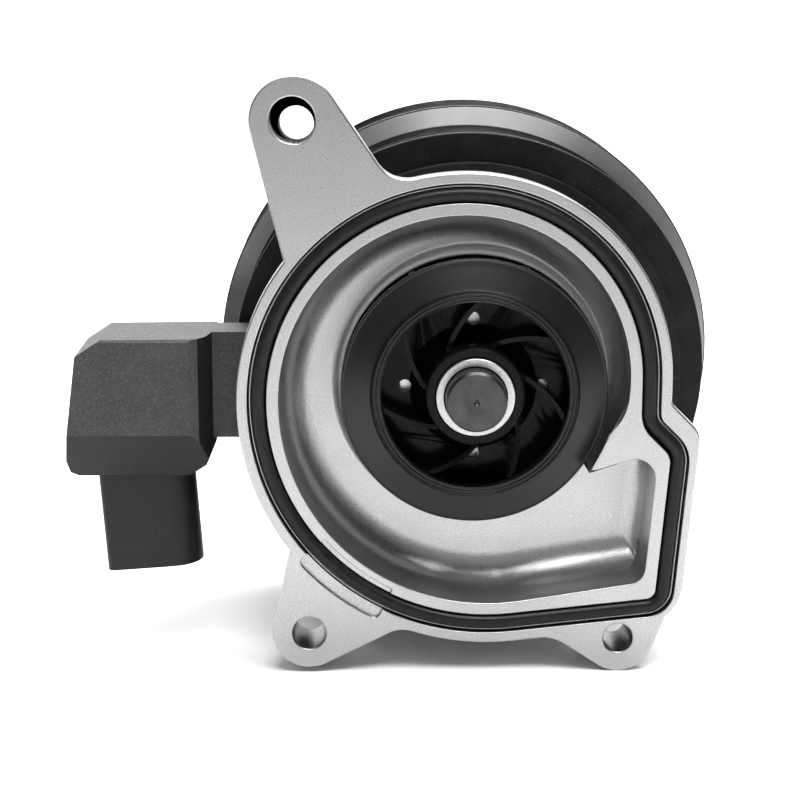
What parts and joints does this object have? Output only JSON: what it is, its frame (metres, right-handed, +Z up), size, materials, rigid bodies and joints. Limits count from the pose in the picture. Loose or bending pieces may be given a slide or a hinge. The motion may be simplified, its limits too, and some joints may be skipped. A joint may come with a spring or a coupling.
{
  "type": "engine coolant pump",
  "caption": "Coolant pump with a spiral casing, closed impeller, three-eared flange with ring seal, plug box and two ribbed belt pulleys joined by a magnetic clutch.",
  "frame": {"origin": "on the pump axis, in the plane of the machined mounting face", "axes": "-Y is the mounting face's outward normal, towards the engine and the impeller's eye; +Y runs along the pump axis to the belt pulleys; +Z is up, with the upper ear at +Z and the two lower ears at -Z; +X is towards the outlet pocket, away from the plug"},
  "size_m": [0.1796, 0.1029, 0.1588],
  "materials": {
    "cast_aluminium": "fine sandblasted casting",
    "seal_rubber": "smooth moulded rubber",
    "filter_felt": "felt",
    "stamped_steel": "stamped sheet",
    "seal_carbon": "lapped carbon",
    "seal_ceramic": "lapped ceramic",
    "bearing_steel": "ground",
    "ball_steel": "polished",
    "cage_polymer": "moulded",
    "coil_steel": "black coated steel",
    "bobbin_plastic": "moulded",
    "copper_wire": "enamelled",
    "potting_resin": "cast resin",
    "spring_steel": "tempered",
    "black_plastic": "fine grain glass-filled",
    "zinc_steel": "zinc plated",
    "tinned_brass": "tinned",
    "wire_sleeve": "insulated",
    "turned_steel": "turned",
    "impeller_plastic": "moulded, semi gloss",
    "pulley_black": "black e-coat",
    "pulley_steel": "e-coat with bare turned faces",
    "friction_lining": "pressed lining",
    "armature_steel": "phosphated"
  },
  "bodies": {
    "housing": {"pump_housing": "cast_aluminium", "housing_seal": "seal_rubber", "weep_filter": "filter_felt", "seal_cup": "stamped_steel", "seal_bellows": "seal_rubber", "seal_spring": "spring_steel", "seal_carbon_ring": "seal_carbon", "bearing_outer_ring": "bearing_steel", "bearing_seals": "seal_rubber", "coil_plate": "coil_steel", "coil_case": "coil_steel", "coil_bobbin": "bobbin_plastic", "coil_winding": "copper_wire", "coil_potting": "potting_resin", "coil_snap_ring": "spring_steel", "locating_pin": "zinc_steel", "connector_box": "black_plastic", "connector_cover": "black_plastic", "connector_screws": "zinc_steel", "connector_socket": "black_plastic", "terminals": "tinned_brass", "lead_wires": "wire_sleeve", "wire_grommet": "seal_rubber"},
    "shaft": {"pump_shaft": "turned_steel", "impeller_bush": "stamped_steel", "impeller": "impeller_plastic", "impeller_shroud": "impeller_plastic", "seal_mating_ring": "seal_ceramic", "slinger_ring": "stamped_steel", "pump_pulley": "pulley_black", "pulley_hub": "turned_steel", "friction_ring": "friction_lining", "clutch_inner_ring": "bearing_steel", "nut_washer": "zinc_steel", "shaft_nut": "zinc_steel"},
    "shaft_bearing_set": {"bearing_balls": "ball_steel", "bearing_cages": "cage_polymer"},
    "clutched_pulley": {"drive_pulley": "pulley_steel", "clutch_outer_ring": "bearing_steel", "clutch_seals": "seal_rubber", "pulley_retaining_ring": "spring_steel", "leaf_springs": "spring_steel", "pulley_rivets": "zinc_steel", "rivet_spacers": "zinc_steel", "stop_pads": "seal_rubber", "nose_cap": "black_plastic"},
    "clutch_bearing_set": {"clutch_bearing_balls": "ball_steel", "clutch_cages": "cage_polymer"},
    "armature": {"armature_plate": "armature_steel", "armature_rivets": "zinc_steel"}
  },
  "joints": [
    {"name": "shaft_spin", "type": "hinge", "parent": "housing", "child": "shaft", "pos_m": [0, 0.04, 0], "axis": [0, 1, 0], "continuous": true},
    {"name": "shaft_bearing_spin", "type": "hinge", "parent": "housing", "child": "shaft_bearing_set", "pos_m": [0, 0.0405, 0], "axis": [0, 1, 0], "continuous": true},
    {"name": "clutched_pulley_spin", "type": "hinge", "parent": "shaft", "child": "clutched_pulley", "pos_m": [0, 0.0715, 0], "axis": [0, 1, 0], "continuous": true},
    {"name": "clutch_bearing_spin", "type": "hinge", "parent": "shaft", "child": "clutch_bearing_set", "pos_m": [0, 0.0715, 0], "axis": [0, 1, 0], "continuous": true},
    {"name": "armature_pull", "type": "slide", "parent": "clutched_pulley", "child": "armature", "axis": [0, -1, 0], "range_m": [0, 0.00038], "stiffness_N_per_m": 20000, "deforming": ["leaf_springs"]}
  ],
  "couplings": [
    {"joint": "shaft_bearing_spin", "follows": "shaft_spin", "ratio": 0.3587},
    {"joint": "clutch_bearing_spin", "follows": "clutched_pulley_spin", "ratio": 0.5722}
  ]
}
